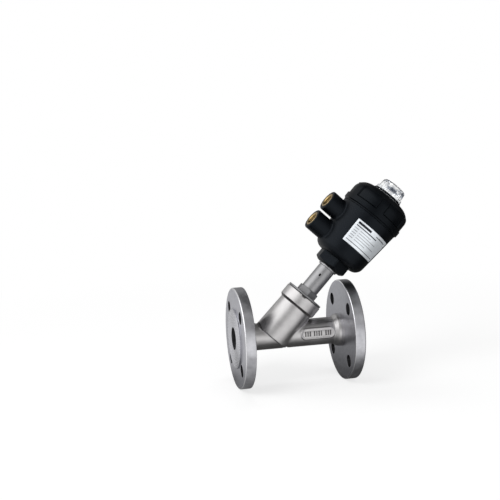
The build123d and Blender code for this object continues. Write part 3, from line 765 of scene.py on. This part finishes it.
# ---------------------------------------------------------------------------------------------
# Bonnet: a turned stainless plug screwed into the collar, with a thin flange and a spanner
# hexagon whose top corners are cut back by a conical chamfer.
# ---------------------------------------------------------------------------------------------
turned_steel = surface(
    "turned_steel", TURNED_MARKS, 0.22, (0.34, 0.34, 0.35), (0.44, 0.44, 0.45),
    (0.36, 0.42), 0.005, **ON_BONNET,
)
dull_hexagon = surface(
    "dull_hexagon", SKIN_GRAIN, 900.0, (0.20, 0.20, 0.207), (0.27, 0.27, 0.278),
    (0.44, 0.52), 0.004,
)


ROW_LIFT = 1000.0


def six_sided(shape, flats, foot, top, bore, foot_cut, top_cut, corner_round, place):
    """A hexagonal nut with conical chamfers; each cut is (radius left flat, slope)."""
    half = flats / 2
    corner = half / cos(radians(30))
    plain = [(bore, foot), (corner, foot), (corner + 1, foot), (corner + 1, top)]
    plain += [(corner, top), (bore, top)]
    fresh = lathe(shape, [(r, h + ROW_LIFT * i) for i, (r, h) in enumerate(plain)], steps=180)
    for vert in fresh:
        angle = atan2(vert.co.y, vert.co.x)
        row = int((vert.co.z / MM - foot + ROW_LIFT / 2) // ROW_LIFT)
        bent = (angle % radians(60)) - radians(30)
        reach = half / cos(bent)
        reach = min(reach, corner - corner_round)
        low = foot + max(0.0, (reach - foot_cut[0]) * foot_cut[1])
        high = top - max(0.0, (reach - top_cut[0]) * top_cut[1])
        radius, height = (
            (bore, foot), (min(reach, foot_cut[0]), foot), (reach, low),
            (reach, high), (min(reach, top_cut[0]), top), (bore, top),
        )[row]
        vert.co = Vector((radius * cos(angle), radius * sin(angle), height)) * MM
    bmesh.ops.transform(shape, matrix=place, verts=fresh)


HEX_BEARING = radians(-98.4)
HEX_PLACE = BONNET_PLACE @ Matrix.Rotation(HEX_BEARING, 4, "Z")
shape = bmesh.new()
lathe(shape, rounded([
    (8.0, 44.0), (15.5, 44.0), (17.0, 45.5), (17.0, 58.6), (22.4, 58.6, 0.15),
    (22.4, 60.6, 0.5), (10.0, 60.6), (10.0, 66.0), (8.0, 66.0),
]), place=BONNET_PLACE)
six_sided(shape, 22.4, 60.55, 67.9, 9.3, (12.93, 1.0), (12.0, 0.9), 0.12, HEX_PLACE)
finish_piece("bonnet_plug", shape, "valve", ["bonnet"], dull_hexagon)

# ---------------------------------------------------------------------------------------------
# Stem tube: a bright turned stainless tube screwed into the bonnet, drilled with a small weep
# hole that shows when the packing leaks, and stepped down where the head turns on it.
# ---------------------------------------------------------------------------------------------
brushed_tube = surface(
    "brushed_tube", TURNED_MARKS, 0.16, (0.31, 0.31, 0.318), (0.38, 0.38, 0.388),
    (0.36, 0.42), 0.005, **ON_BONNET,
)
WEEP_BEARING, WEEP_HEIGHT, WEEP_RADIUS = radians(-118.4), 88.0, 1.5
TUBE_OUTSIDE, TUBE_BORE = 10.2, 8.0
shape = bmesh.new()
lathe(shape, rounded([
    (TUBE_OUTSIDE, 86.0), (TUBE_OUTSIDE, 90.0), (TUBE_OUTSIDE, 99.2, 0.4), (8.9, 99.2, 0.2),
    (8.9, 119.0, 0.6), (TUBE_BORE, 119.0), (TUBE_BORE, 62.5),
    (9.2, 62.5), (9.2, 67.95), (TUBE_OUTSIDE, 67.95, 0.3),
]), steps=144)
hole_side = Vector((-sin(WEEP_BEARING), cos(WEEP_BEARING), 0))
hole_out = Vector((cos(WEEP_BEARING), sin(WEEP_BEARING), 0))
window = []
for face in shape.faces:
    middle = face.calc_center_median() / MM
    if abs(middle.z - WEEP_HEIGHT) < 0.5 and abs(middle.xy.length - TUBE_OUTSIDE) < 0.1:
        if middle.dot(hole_out) > 0 and abs(middle.dot(hole_side)) < 1.95:
            window.append(face)
bmesh.ops.delete(shape, geom=window, context="FACES")
for depth_below, radius in ((0.0, 1.65), (0.12, WEEP_RADIUS), (1.9, WEEP_RADIUS)):
    rim = [e for e in shape.edges if e.is_boundary]
    made = bmesh.ops.extrude_edge_only(shape, edges=rim)["geom"]
    for vert in (v for v in made if isinstance(v, bmesh.types.BMVert)):
        angle = atan2(vert.co.z - WEEP_HEIGHT * MM, vert.co.dot(hole_side))
        across, high = radius * cos(angle), radius * sin(angle)
        depth = (TUBE_OUTSIDE ** 2 - across ** 2) ** 0.5 - depth_below
        vert.co = (hole_side * across + hole_out * depth + Vector((0, 0, WEEP_HEIGHT + high))) * MM
    # Deeper than a mm, the hole's wall and the wall that closes its end take a near-black material:
    # painted shade inside the weep hole.
    if depth_below > 1.0:
        for face in (f for f in made if isinstance(f, bmesh.types.BMFace)):
            face.material_index = 1
end_wall = bmesh.ops.contextual_create(shape, geom=[e for e in shape.edges if e.is_boundary])
for face in end_wall["faces"]:
    face.material_index = 1
bmesh.ops.transform(shape, matrix=BONNET_PLACE, verts=shape.verts)
# A near-black matt material: painted shade inside the weep hole.
hole_painted_shade = surface(
    "hole_painted_shade", SKIN_GRAIN, 900.0, (0.004, 0.004, 0.004), (0.010, 0.010, 0.010),
    (0.7, 0.9), 0.01, metallic=0.0, specular=0.1,
)
finish_piece(
    "stem_tube_turned", shape, "valve", ["stem_tube"], brushed_tube,
    also=[hole_painted_shade],
)

# ---------------------------------------------------------------------------------------------
# Thrust washer: a bright ring turned from stainless bar.  It sits on the tube's shoulder, and the
# head stands on it.
# ---------------------------------------------------------------------------------------------
shape = bmesh.new()
lathe(shape, rounded([
    (8.9, 99.2), (11.75, 99.2, 0.35), (11.75, 101.0, 0.25), (8.9, 101.0),
]), place=BONNET_PLACE)
finish_piece("bright_washer", shape, "valve", ["thrust_washer"], turned_steel)

# ---------------------------------------------------------------------------------------------
# Base nut: the black polymer hexagon moulded at the foot of the head.  Its lower edge is
# chamfered all round.
# ---------------------------------------------------------------------------------------------
black_polymer = surface(
    "black_polymer", SKIN_GRAIN, 1400.0, (0.0012, 0.0015, 0.0023), (0.0024, 0.0029, 0.0040),
    (0.30, 0.38), 0.012, metallic=0.0, specular=0.16, sheen_tint=(0.74, 0.86, 1.0),
)
shape = bmesh.new()
six_sided(shape, 36.0, 101.4, 113.8, 13.0, (15.5, 0.6), (30.0, 1.0), 0.25, HEX_PLACE)
finish_piece("head_nut", shape, "head", ["base_nut"], black_polymer)

# ---------------------------------------------------------------------------------------------
# Head housing: the glass-filled nylon cylinder of the actuator.  Two air port bosses stand on
# its side, and the moulding has soft corners and a fine satin grain.
# ---------------------------------------------------------------------------------------------
PORT_HEIGHTS, BOSS_RADIUS = (131.4, 158.3), 12.35
WALL_FOOT, WALL_TOP, BLEND_SLOPE = (124.0, 32.0), (174.4, 35.9), 0.0774


def housing_wall(height):
    """Radius of the housing's slightly tapered wall at a height."""
    slope = (WALL_TOP[1] - WALL_FOOT[1]) / (WALL_TOP[0] - WALL_FOOT[0])
    return WALL_FOOT[1] + (height - WALL_FOOT[0]) * slope


def boss_blend(points):
    """One along the corner between each boss and the housing wall."""
    x, y, z = (points / MM).T
    along, across = in_bonnet(x, z)
    wall_radius = WALL_FOOT[1] + (along - WALL_FOOT[0]) * BLEND_SLOPE
    from_wall = np.abs(np.hypot(across, y) - wall_radius)
    from_boss = np.min([np.abs(np.hypot(along - h, y) - BOSS_RADIUS) for h in PORT_HEIGHTS], axis=0)
    near = np.clip(1.0 - (from_wall + from_boss) / 4.0, 0.0, 1.0)
    return near * (across < -20.0)


HOUSING_VOXEL = 0.75
housing_shape = soft_copy("head_housing", "head_housing", HOUSING_VOXEL, 3, boss_blend, 20)
finish_piece("moulded_housing", housing_shape, "head", ["head_housing"], black_polymer)

# ---------------------------------------------------------------------------------------------
# Screw cap: the domed cap moulded in black polymer and screwed on the housing, with a plain band
# at its foot, six shallow panels between its grip lugs, and a small step to the indicator.
# ---------------------------------------------------------------------------------------------
PANEL_BEARINGS = [radians(-132.7 + 60 * k) for k in range(6)]
PANEL_WALL, LUG_RADIUS, SHOULDER_FOOT, SHOULDER_TOP, CAP_TOP = 36.3, 37.6, 191.5, 204.8, 206.6
PANEL_HALF, PANEL_FOOT, PANEL_HEAD, PANEL_CORNER, PANEL_DEPTH = 14.3, 182.9, 198.4, 1.3, 1.3
cap_polymer = surface(
    "cap_polymer", SKIN_GRAIN, 1400.0, (0.0010, 0.0013, 0.0020), (0.0020, 0.0025, 0.0034),
    (0.28, 0.36), 0.012, metallic=0.0, specular=0.13, sheen_tint=(0.76, 0.88, 1.0),
)


def circle_through(a, b, c):
    """Centre and radius of the circle through three points of an outline."""
    d = 2 * (a[0] * (b[1] - c[1]) + b[0] * (c[1] - a[1]) + c[0] * (a[1] - b[1]))
    s = [p[0] ** 2 + p[1] ** 2 for p in (a, b, c)]
    x = (s[0] * (b[1] - c[1]) + s[1] * (c[1] - a[1]) + s[2] * (a[1] - b[1])) / d
    y = (s[0] * (c[0] - b[0]) + s[1] * (a[0] - c[0]) + s[2] * (b[0] - a[0])) / d
    return x, y, ((a[0] - x) ** 2 + (a[1] - y) ** 2) ** 0.5


SHOULDER = circle_through((PANEL_WALL, SHOULDER_FOOT), (33.0, 199.9), (24.6, SHOULDER_TOP))


def panel_radius(height):
    """Outside radius of the cap between its lugs: straight, then an arc over the shoulder."""
    if height <= SHOULDER_FOOT:
        return PANEL_WALL
    if height <= SHOULDER_TOP:
        return SHOULDER[0] + (max(0.0, SHOULDER[2] ** 2 - (height - SHOULDER[1]) ** 2)) ** 0.5
    return 24.6 + (18.0 - 24.6) * (height - SHOULDER_TOP) / (CAP_TOP - SHOULDER_TOP)


def smooth_step(value, start, end):
    """0 at start and 1 at end, easing between them."""
    share = min(1.0, max(0.0, (value - start) / (end - start)))
    return share * share * (3 - 2 * share)


def outside_panel(along, height):
    """How far a point lies outside a round-cornered panel, in mm, negative within it."""
    middle, half = (PANEL_FOOT + PANEL_HEAD) / 2, (PANEL_HEAD - PANEL_FOOT) / 2
    out_x = abs(along) - PANEL_HALF + PANEL_CORNER
    out_z = abs(height - middle) - half + PANEL_CORNER
    beyond = (max(out_x, 0.0) ** 2 + max(out_z, 0.0) ** 2) ** 0.5
    return beyond + min(max(out_x, out_z), 0.0) - PANEL_CORNER


outer_rows = rounded([
    (31.0, 174.4), (36.1, 174.4, 0.1), (36.1, 175.8, 0.1), (LUG_RADIUS, 176.8, 0.5),
    (LUG_RADIUS, 181.5),
], parts=3)
ledge = [182.3, 182.6, 182.9, 183.2, 183.5, 183.8, 184.1, 184.5, 185.5, 187.5, 189.5]
crown = [190.6 + 0.5 * k for k in range(29)] + [SHOULDER_TOP, 205.3, 206.0, CAP_TOP]
inner_rows = [
    (3.9, CAP_TOP), (3.9, 199.0), (21.0, 199.0), (27.0, 192.0), (27.0, 164.0), (30.0, 164.0),
    (31.0, 165.0),
]
cap_rows = outer_rows + [(panel_radius(h), h) for h in ledge + crown] + inner_rows
shape = bmesh.new()
for vert in lathe(shape, cap_rows, steps=480):
    height = vert.co.z / MM
    radius = vert.co.xy.length / MM
    if not 182.0 < height < 203.4 or radius < 28.0:
        continue
    angle = atan2(vert.co.y, vert.co.x)
    turns = [(angle - b + pi) % (2 * pi) - pi for b in PANEL_BEARINGS]
    nearest = PANEL_WALL * min(abs(turn) for turn in turns)
    outside = outside_panel(nearest, height)
    proud = smooth_step(outside, -0.22, 0.22) - 0.30 * max(0.0, 1.0 - abs(outside + 0.65) / 0.45)
    proud *= smooth_step(height, 200.8, 196.5)
    wanted = min(LUG_RADIUS, radius + PANEL_DEPTH * proud)
    vert.co.x *= wanted / radius
    vert.co.y *= wanted / radius
bmesh.ops.transform(shape, matrix=BONNET_PLACE, verts=shape.verts)
finish_piece("grip_cap", shape, "head", ["screw_cap"], cap_polymer)

# ---------------------------------------------------------------------------------------------
# Indicator base ring: a thin ring moulded in black polymer, on top of the cap.  It clamps the
# foot of the clear dome.
# ---------------------------------------------------------------------------------------------
shape = bmesh.new()
lathe(shape, rounded([
    (10.0, CAP_TOP), (18.0, CAP_TOP, 0.2), (18.0, 208.2, 0.6), (10.0, 208.2),
]), place=BONNET_PLACE)
finish_piece("dome_lip", shape, "head", ["indicator_base_ring"], black_polymer)

# ---------------------------------------------------------------------------------------------
# Indicator dome: a clear moulded polycarbonate cup.  Flutes inside its wall break up what shows
# through it, and a rim stands out at its foot.
# ---------------------------------------------------------------------------------------------
clear_polymer = bpy.data.materials.new("clear_polymer")
add, link = node_tree(clear_polymer)
where = add("ShaderNodeTexCoord")
ripple = add("ShaderNodeTexNoise", {"Scale": 260.0, "Detail": 1.0})
wave = add("ShaderNodeBump", {"Distance": 0.035 * MM})
# Dark and near-white streaks stretched along the dome's axis in its colour: painted reflections.
painted_reflection_tint = ramp(add, 0.42, (0.24, 0.26, 0.30), 0.50, (0.985, 0.99, 0.99))
flow = add("ShaderNodeMapping", {
    "Location": tuple(CROSSING), "Rotation": BONNET_TURN, "Scale": (3.2, 3.2, 0.9),
}, vector_type="TEXTURE")
painted_reflection_streaks = add("ShaderNodeTexNoise", {"Scale": 230.0, "Detail": 2.0})
clear = add("ShaderNodeBsdfPrincipled", {
    "Roughness": 0.03, "Transmission Weight": 1.0, "IOR": 1.58,
})
clear_out = add("ShaderNodeOutputMaterial")
link(where.outputs["Object"], ripple.inputs["Vector"])
link(ripple.outputs["Fac"], wave.inputs["Height"])
link(where.outputs["Object"], flow.inputs["Vector"])
link(flow.outputs[0], painted_reflection_streaks.inputs["Vector"])
link(painted_reflection_streaks.outputs["Fac"], painted_reflection_tint.inputs["Fac"])
link(painted_reflection_tint.outputs[0], clear.inputs["Base Color"])
link(wave.outputs[0], clear.inputs["Normal"])
link(clear.outputs[0], clear_out.inputs["Surface"])
shape = bmesh.new()
dome_rows = rounded([
    (17.2, 208.2), (17.2, 211.6, 0.5), (15.6, 211.6, 0.3), (14.84, 219.55, 1.0), (13.55, 221.25, 0.8),
    (11.5, 221.5), (0.0, 221.5), (0.0, 220.1), (11.8, 220.1, 0.6), (13.4, 218.1, 1.0), (14.2, 208.2),
])
for vert in lathe(shape, dome_rows, steps=192):
    height, radius = vert.co.z / MM, vert.co.xy.length / MM
    if 208.4 < height < 218.5 and radius < 14.4:
        flute = 1.0 + 0.026 * cos(12 * atan2(vert.co.y, vert.co.x))
        vert.co.x *= flute
        vert.co.y *= flute
paint_faces(shape, 1, lambda middle: middle.z < 211.9 and middle.xy.length > 15.0)
bmesh.ops.transform(shape, matrix=BONNET_PLACE, verts=shape.verts)
frosted_rim = surface(
    "frosted_rim", SKIN_GRAIN, 900.0, (0.80, 0.82, 0.83), (0.94, 0.95, 0.96),
    (0.12, 0.20), 0.010, metallic=0.0, clear=0.55,
)
finish_piece(
    "clear_dome", shape, "head", ["indicator_dome"], clear_polymer,
    also=[frosted_rim],
)

# ---------------------------------------------------------------------------------------------
# Port inserts: brass sleeves moulded into the bosses, each tapped with a parallel pipe thread
# and finished with a bright countersunk rim.
# ---------------------------------------------------------------------------------------------
THREAD_PITCH = 1.337
for name, port_height in zip(("lower_port", "upper_port"), PORT_HEIGHTS):
    place = BONNET_PLACE @ Matrix.Translation((0, 0, port_height * MM)) @ Matrix.Rotation(-pi / 2, 4, "Y")
    brass = surface(
        name + "_brass", TURNED_MARKS, 0.2, (0.36, 0.25, 0.10), (0.56, 0.42, 0.21),
        (0.20, 0.32), 0.006, place=tuple(place.translation), turn_by=tuple(place.to_euler()),
    )
    rows = [(6.9, 52.3)]
    depth = 51.2
    while depth > 37.5:
        rows += [(5.95, depth), (5.95, depth - 0.25), (6.55, depth - 0.65), (6.55, depth - 0.8)]
        depth -= THREAD_PITCH
    rows += [(5.95, 36.3), (8.85, 36.3), (8.85, 52.1), (8.65, 52.3)]
    shape = bmesh.new()
    lathe(shape, rows, steps=96, place=place)
    finish_piece(name + "_sleeve", shape, "head", [name + "_insert"], brass)

# ---------------------------------------------------------------------------------------------
# Name plate: a thin silvered film label, bent round the housing and stuck to it.  It is printed
# with plain rules only.
# ---------------------------------------------------------------------------------------------
PLATE_START, PLATE_SWEEP = radians(-123.0), radians(86.6)
PLATE_FOOT, PLATE_HEAD = 134.0, 163.0


# Each printed bar has its left, right, foot and head as shares of the label, and its strength.
BARS = [
    (0.05, 0.40, 0.845, 0.935, 1.0), (0.56, 0.90, 0.865, 0.90, 0.85),
    (0.05, 0.62, 0.75, 0.79, 0.95), (0.04, 0.92, 0.10, 0.13, 0.85),
]
for row, end in enumerate((0.50, 0.70, 0.58, 0.76, 0.52)):
    foot = 0.64 - 0.10 * row
    BARS += [(0.05, 0.16, foot, foot + 0.03, 0.6), (0.20, end, foot, foot + 0.03, 0.5)]


def plate_rules():
    """Rows of plain printed bars on the label's own UV: gives a dark ink mask."""
    made, add, link, given, out = effect(
        "plate_rules", [("Vector", "NodeSocketVector", None)], [("Ink", "NodeSocketFloat")],
    )
    apart = add("ShaderNodeSeparateXYZ")
    link(given.outputs["Vector"], apart.inputs[0])

    def between(source, low, high):
        above = add("ShaderNodeMath", {1: low}, operation="GREATER_THAN")
        below = add("ShaderNodeMath", {1: high}, operation="LESS_THAN")
        both = add("ShaderNodeMath", operation="MULTIPLY")
        link(source, above.inputs[0])
        link(source, below.inputs[0])
        link(above.outputs[0], both.inputs[0])
        link(below.outputs[0], both.inputs[1])
        return both.outputs[0]

    total = None
    for left, right, foot, head, strength in BARS:
        wide = between(apart.outputs["X"], left, right)
        tall = between(apart.outputs["Y"], foot, head)
        bar = add("ShaderNodeMath", operation="MULTIPLY")
        link(wide, bar.inputs[0])
        link(tall, bar.inputs[1])
        weighed = add("ShaderNodeMath", {1: strength}, operation="MULTIPLY")
        link(bar.outputs[0], weighed.inputs[0])
        if total is None:
            total = weighed.outputs[0]
            continue
        joined = add("ShaderNodeMath", operation="MAXIMUM")
        link(total, joined.inputs[0])
        link(weighed.outputs[0], joined.inputs[1])
        total = joined.outputs[0]
    link(total, out.inputs["Ink"])
    return made


label_film = bpy.data.materials.new("label_film")
add, link = node_tree(label_film)
print_place = add("ShaderNodeUVMap", uv_map="print")
rules = add("ShaderNodeGroup", node_tree=plate_rules())
inked = add("ShaderNodeMix", {
    "A": (0.78, 0.82, 0.86, 1), "B": (0.012, 0.014, 0.02, 1),
}, data_type="RGBA")
film = add("ShaderNodeBsdfPrincipled", {"Metallic": 0.55, "Roughness": 0.36})
film_out = add("ShaderNodeOutputMaterial")
link(print_place.outputs[0], rules.inputs["Vector"])
link(rules.outputs["Ink"], inked.inputs["Factor"])
link(inked.outputs["Result"], film.inputs["Base Color"])
link(film.outputs[0], film_out.inputs["Surface"])


shape = bmesh.new()
columns, rows = 96, 24
bmesh.ops.create_grid(shape, x_segments=columns, y_segments=rows, size=0.5)
print_layer = shape.loops.layers.uv.new("print")
for face in shape.faces:
    for loop in face.loops:
        loop[print_layer].uv = (loop.vert.co.x + 0.5, loop.vert.co.y + 0.5)
for vert in shape.verts:
    angle = PLATE_START + PLATE_SWEEP * (vert.co.x + 0.5)
    height = PLATE_FOOT + (PLATE_HEAD - PLATE_FOOT) * (vert.co.y + 0.5)
    radius = housing_wall(height) + 0.02
    vert.co = Vector((radius * cos(angle), radius * sin(angle), height)) * MM
bmesh.ops.recalc_face_normals(shape, faces=shape.faces)
first = shape.faces[:][0]
middle = first.calc_center_median()
if first.normal.dot(Vector((middle.x, middle.y, 0))) > 0:
    bmesh.ops.reverse_faces(shape, faces=shape.faces)
bmesh.ops.solidify(shape, geom=shape.faces[:], thickness=0.26 * MM)
bmesh.ops.transform(shape, matrix=BONNET_PLACE, verts=shape.verts)
finish_piece("label", shape, "head", ["name_plate"], label_film)

# ---------------------------------------------------------------------------------------------
# Gland inside the stem tube: two polymer guide bushes, a stack of packing rings pressed up by a
# washer and a wire spring, a rubber wiper on top, and the sprung ring that holds the head on.
# ---------------------------------------------------------------------------------------------
def repaint(nodes, paint):
    """Gives CAD pieces that keep their shape a better material in their own slots."""
    for node in nodes:
        for material_slot in bpy.data.objects[node].material_slots:
            material_slot.material = paint


bearing_polymer = surface(
    "bearing_polymer", TURNED_MARKS, 0.35, (0.045, 0.042, 0.038), (0.085, 0.080, 0.072),
    (0.42, 0.55), 0.010, metallic=0.0, specular=0.4, **ON_BONNET,
)
packing_polymer = surface(
    "packing_polymer", SKIN_GRAIN, 1600.0, (0.70, 0.69, 0.65), (0.82, 0.81, 0.78),
    (0.38, 0.52), 0.012, metallic=0.0, specular=0.45,
)
spring_steel = surface(
    "spring_steel", SKIN_GRAIN, 2200.0, (0.20, 0.20, 0.21), (0.34, 0.34, 0.35),
    (0.24, 0.38), 0.006,
)
seal_rubber = surface(
    "seal_rubber", SKIN_GRAIN, 2600.0, (0.006, 0.006, 0.006), (0.014, 0.014, 0.014),
    (0.55, 0.72), 0.008, metallic=0.0, specular=0.35,
)
repaint(["lower_guide_bush", "upper_guide_bush"], bearing_polymer)
repaint(["packing_rings"], packing_polymer)
repaint(["packing_washer"], turned_steel)
repaint(["packing_spring", "retaining_ring"], spring_steel)
repaint(["stem_wiper"], seal_rubber)

# ---------------------------------------------------------------------------------------------
# Stem and plug: a ground stainless stem that carries the turned plug, with a white seat seal
# clamped under it by a washer and a nut.
# ---------------------------------------------------------------------------------------------
ground_steel = surface(
    "ground_steel", TURNED_MARKS, 0.10, (0.52, 0.52, 0.53), (0.60, 0.60, 0.61),
    (0.14, 0.20), 0.002, **ON_BONNET,
)
seat_polymer = surface(
    "seat_polymer", TURNED_MARKS, 0.28, (0.74, 0.73, 0.70), (0.84, 0.83, 0.80),
    (0.34, 0.46), 0.010, metallic=0.0, specular=0.45, **ON_BONNET,
)
repaint(["stem"], ground_steel)
repaint(["valve_plug", "seal_washer", "plug_nut"], turned_steel)
repaint(["seat_seal"], seat_polymer)

# ---------------------------------------------------------------------------------------------
# Actuator insides: a cast alloy piston nutted on the stem, its rubber lip seal, the strong
# return spring above it, the cap's O-ring, and the red pin that shows the stroke in the dome.
# ---------------------------------------------------------------------------------------------
piston_metal = surface(
    "piston_metal", SKIN_GRAIN, 1300.0, (0.52, 0.53, 0.54), (0.66, 0.67, 0.68),
    (0.40, 0.52), 0.018,
)
indicator_red = surface(
    "indicator_red", SKIN_GRAIN, 1500.0, (0.50, 0.018, 0.012), (0.62, 0.030, 0.018),
    (0.30, 0.40), 0.006, metallic=0.0, specular=0.5,
)
repaint(["piston"], piston_metal)
repaint(["piston_nut"], turned_steel)
repaint(["piston_seal", "cap_o_ring"], seal_rubber)
repaint(["return_spring"], spring_steel)
repaint(["indicator_pin"], indicator_red)
